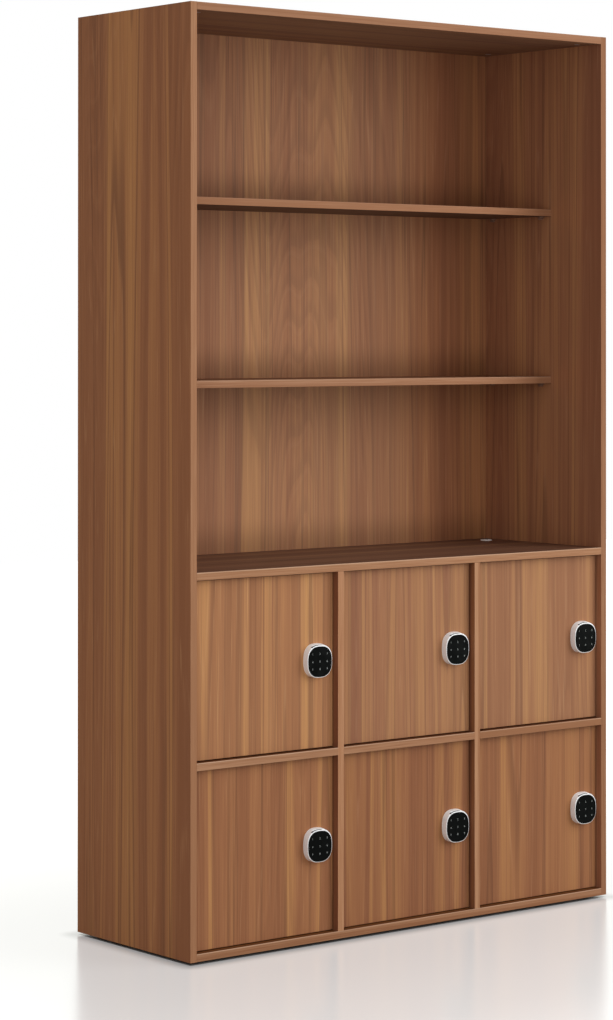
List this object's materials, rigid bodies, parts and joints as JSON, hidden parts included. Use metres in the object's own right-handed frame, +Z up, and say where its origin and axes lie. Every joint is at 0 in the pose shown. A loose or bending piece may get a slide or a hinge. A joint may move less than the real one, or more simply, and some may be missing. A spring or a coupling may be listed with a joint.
{
  "type": "office cabinet",
  "caption": "Tall walnut-laminate office cabinet with open shelves above small inset lockers, each with a keypad lock that throws a bolt.",
  "frame": {"origin": "middle of the footprint on the floor", "axes": "+X to the right as seen from the front, +Y towards the back, +Z up"},
  "size_m": [1.2, 0.415, 2],
  "materials": {
    "side_panels": "walnut laminate, satin",
    "cross_boards": "walnut laminate, satin",
    "back_panel": "walnut laminate, satin",
    "open_shelves": "walnut laminate, satin",
    "locker_shelves": "walnut laminate, satin",
    "dividers": "walnut laminate, satin",
    "doors": "walnut laminate, satin",
    "beech": "raw beech",
    "nickel": "nickel plated",
    "hinge_cups": "nickel plated, pressed",
    "zinc": "die-cast zinc",
    "bolt_metal": "plated",
    "glide_plastic": "black, matt",
    "grommet_metal": "satin metal",
    "lock_shell": "white, satin",
    "keypad": "black, high gloss",
    "lock_case": "white, fine grain"
  },
  "bodies": {
    "carcass": {"side_panel_left": "side_panels", "side_panel_right": "side_panels", "bottom_panel": "cross_boards", "fixed_shelf": "cross_boards", "top_panel": "cross_boards", "back_panel": "back_panel", "open_shelf_lower": "open_shelves", "open_shelf_upper": "open_shelves", "locker_shelf_left": "locker_shelves", "locker_shelf_centre": "locker_shelves", "locker_shelf_right": "locker_shelves", "divider_left": "dividers", "divider_right": "dividers", "shelf_pins": "nickel", "dowels": "beech", "cam_drums": "zinc", "cam_bolts": "nickel", "glides": "glide_plastic", "cable_grommet": "grommet_metal", "grommet_cap": "grommet_metal", "hinge_pins": "nickel", "hinge_arms": "nickel", "hinge_plates": "nickel", "strike_plates": "nickel"},
    "door_lower_left_leaf": {"door_lower_left": "doors", "hinge_cups_lower_left": "hinge_cups", "lock_housing_lower_left": "lock_shell", "keypad_face_lower_left": "keypad", "lock_case_lower_left": "lock_case"},
    "bolt_lower_left": {"lock_bolt_lower_left": "bolt_metal"},
    "door_lower_centre_leaf": {"door_lower_centre": "doors", "hinge_cups_lower_centre": "hinge_cups", "lock_housing_lower_centre": "lock_shell", "keypad_face_lower_centre": "keypad", "lock_case_lower_centre": "lock_case"},
    "bolt_lower_centre": {"lock_bolt_lower_centre": "bolt_metal"},
    "door_lower_right_leaf": {"door_lower_right": "doors", "hinge_cups_lower_right": "hinge_cups", "lock_housing_lower_right": "lock_shell", "keypad_face_lower_right": "keypad", "lock_case_lower_right": "lock_case"},
    "bolt_lower_right": {"lock_bolt_lower_right": "bolt_metal"},
    "door_upper_left_leaf": {"door_upper_left": "doors", "hinge_cups_upper_left": "hinge_cups", "lock_housing_upper_left": "lock_shell", "keypad_face_upper_left": "keypad", "lock_case_upper_left": "lock_case"},
    "bolt_upper_left": {"lock_bolt_upper_left": "bolt_metal"},
    "door_upper_centre_leaf": {"door_upper_centre": "doors", "hinge_cups_upper_centre": "hinge_cups", "lock_housing_upper_centre": "lock_shell", "keypad_face_upper_centre": "keypad", "lock_case_upper_centre": "lock_case"},
    "bolt_upper_centre": {"lock_bolt_upper_centre": "bolt_metal"},
    "door_upper_right_leaf": {"door_upper_right": "doors", "hinge_cups_upper_right": "hinge_cups", "lock_housing_upper_right": "lock_shell", "keypad_face_upper_right": "keypad", "lock_case_upper_right": "lock_case"},
    "bolt_upper_right": {"lock_bolt_upper_right": "bolt_metal"}
  },
  "joints": [
    {"name": "door_lower_left_swing", "type": "hinge", "parent": "carcass", "child": "door_lower_left_leaf", "pos_m": [-0.569, -0.185, 0.21155], "axis": [0, 0, -1], "range_deg": [0, 95]},
    {"name": "bolt_lower_left_throw", "type": "slide", "parent": "door_lower_left_leaf", "child": "bolt_lower_left", "axis": [1, 0, 0], "range_m": [0, 0.009]},
    {"name": "door_lower_centre_swing", "type": "hinge", "parent": "carcass", "child": "door_lower_centre_leaf", "pos_m": [-0.1745, -0.185, 0.21155], "axis": [0, 0, -1], "range_deg": [0, 95]},
    {"name": "bolt_lower_centre_throw", "type": "slide", "parent": "door_lower_centre_leaf", "child": "bolt_lower_centre", "axis": [1, 0, 0], "range_m": [0, 0.009]},
    {"name": "door_lower_right_swing", "type": "hinge", "parent": "carcass", "child": "door_lower_right_leaf", "pos_m": [0.22, -0.185, 0.21155], "axis": [0, 0, -1], "range_deg": [0, 95]},
    {"name": "bolt_lower_right_throw", "type": "slide", "parent": "door_lower_right_leaf", "child": "bolt_lower_right", "axis": [1, 0, 0], "range_m": [0, 0.009]},
    {"name": "door_upper_left_swing", "type": "hinge", "parent": "carcass", "child": "door_upper_left_leaf", "pos_m": [-0.569, -0.185, 0.60715], "axis": [0, 0, -1], "range_deg": [0, 95]},
    {"name": "bolt_upper_left_throw", "type": "slide", "parent": "door_upper_left_leaf", "child": "bolt_upper_left", "axis": [1, 0, 0], "range_m": [0, 0.009]},
    {"name": "door_upper_centre_swing", "type": "hinge", "parent": "carcass", "child": "door_upper_centre_leaf", "pos_m": [-0.1745, -0.185, 0.60715], "axis": [0, 0, -1], "range_deg": [0, 95]},
    {"name": "bolt_upper_centre_throw", "type": "slide", "parent": "door_upper_centre_leaf", "child": "bolt_upper_centre", "axis": [1, 0, 0], "range_m": [0, 0.009]},
    {"name": "door_upper_right_swing", "type": "hinge", "parent": "carcass", "child": "door_upper_right_leaf", "pos_m": [0.22, -0.185, 0.60715], "axis": [0, 0, -1], "range_deg": [0, 95]},
    {"name": "bolt_upper_right_throw", "type": "slide", "parent": "door_upper_right_leaf", "child": "bolt_upper_right", "axis": [1, 0, 0], "range_m": [0, 0.009]}
  ]
}
